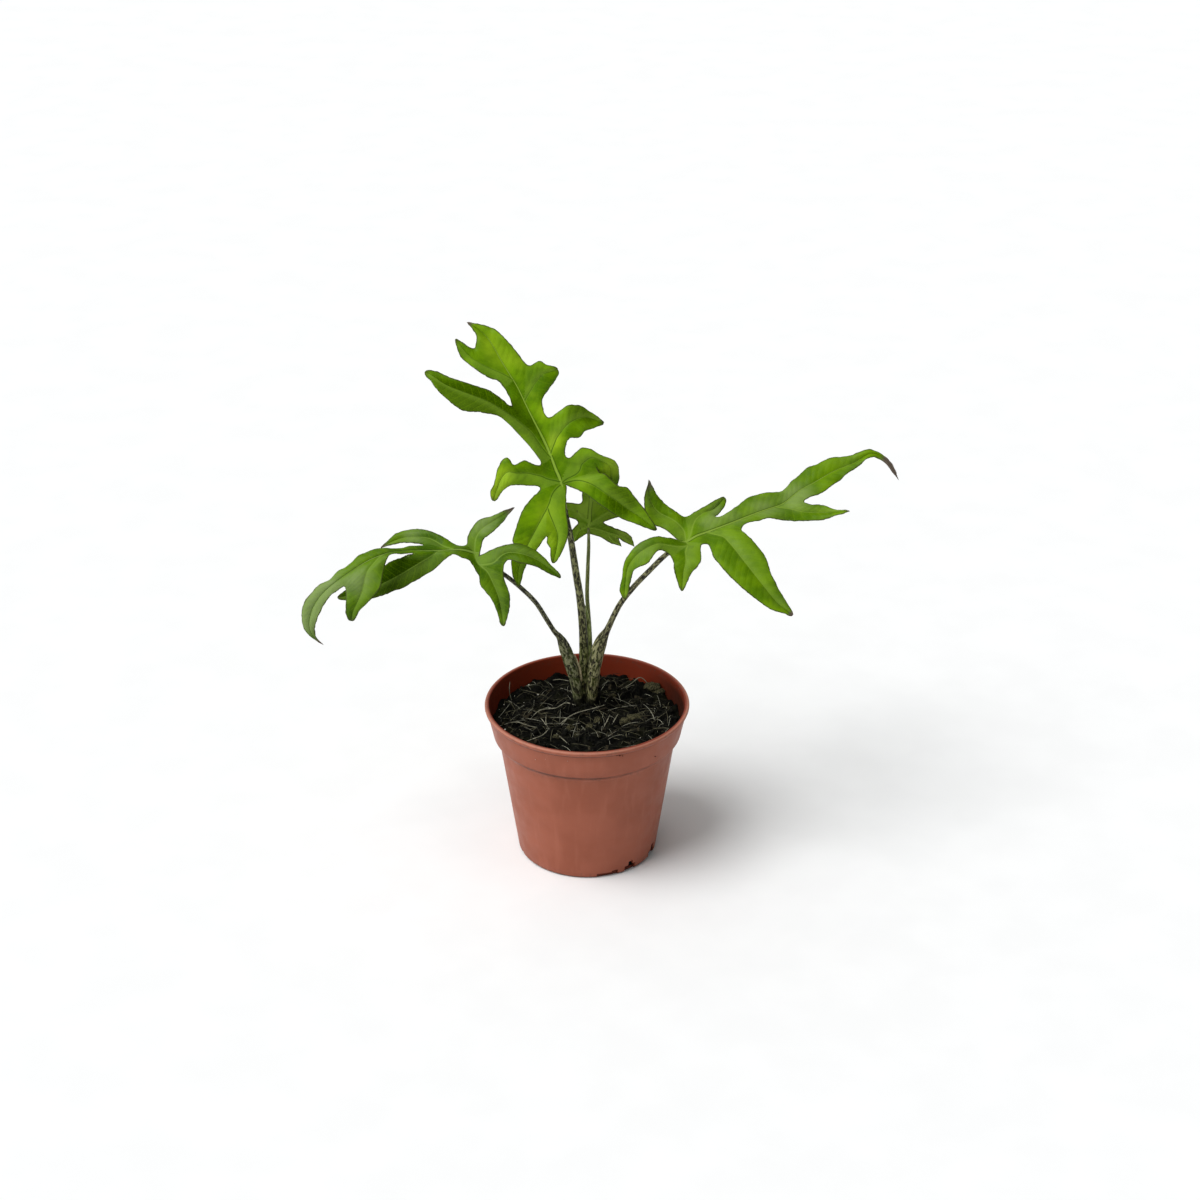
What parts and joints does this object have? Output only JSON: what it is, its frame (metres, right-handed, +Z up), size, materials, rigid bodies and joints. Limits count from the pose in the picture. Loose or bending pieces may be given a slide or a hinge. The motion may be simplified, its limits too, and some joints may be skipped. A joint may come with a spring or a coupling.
{
  "type": "potted alocasia brancifolia",
  "caption": "Potted alocasia brancifolia: deeply cut pointed green leaves on slim mottled stalks, in dark soil in a round tapered terracotta-coloured nursery pot.",
  "frame": {"origin": "centre of the pot's underside, on the surface it stands on", "axes": "+Z up; -Y towards the front of the plant as pictured; +X to the picture's right, along the spread of the two side leaves"},
  "size_m": [0.3442, 0.1287, 0.3167],
  "materials": {
    "pot_plastic": "satin moulded plastic, terracotta colour",
    "potting_soil": "rough, near black, with grey-beige fibres",
    "stalk": "satin, dark purple-brown with pale flecks",
    "leaf_tall": "satin, bright yellow-green",
    "leaf": "satin, mid green with a greyish sheen"
  },
  "bodies": {
    "root": {"pot": "pot_plastic", "soil": "potting_soil", "petiole_tall": "stalk", "petiole_left": "stalk", "petiole_right": "stalk", "petiole_back": "stalk", "blade_tall": "leaf_tall", "blade_left": "leaf", "blade_right": "leaf", "blade_back": "leaf"}
  },
  "joints": []
}
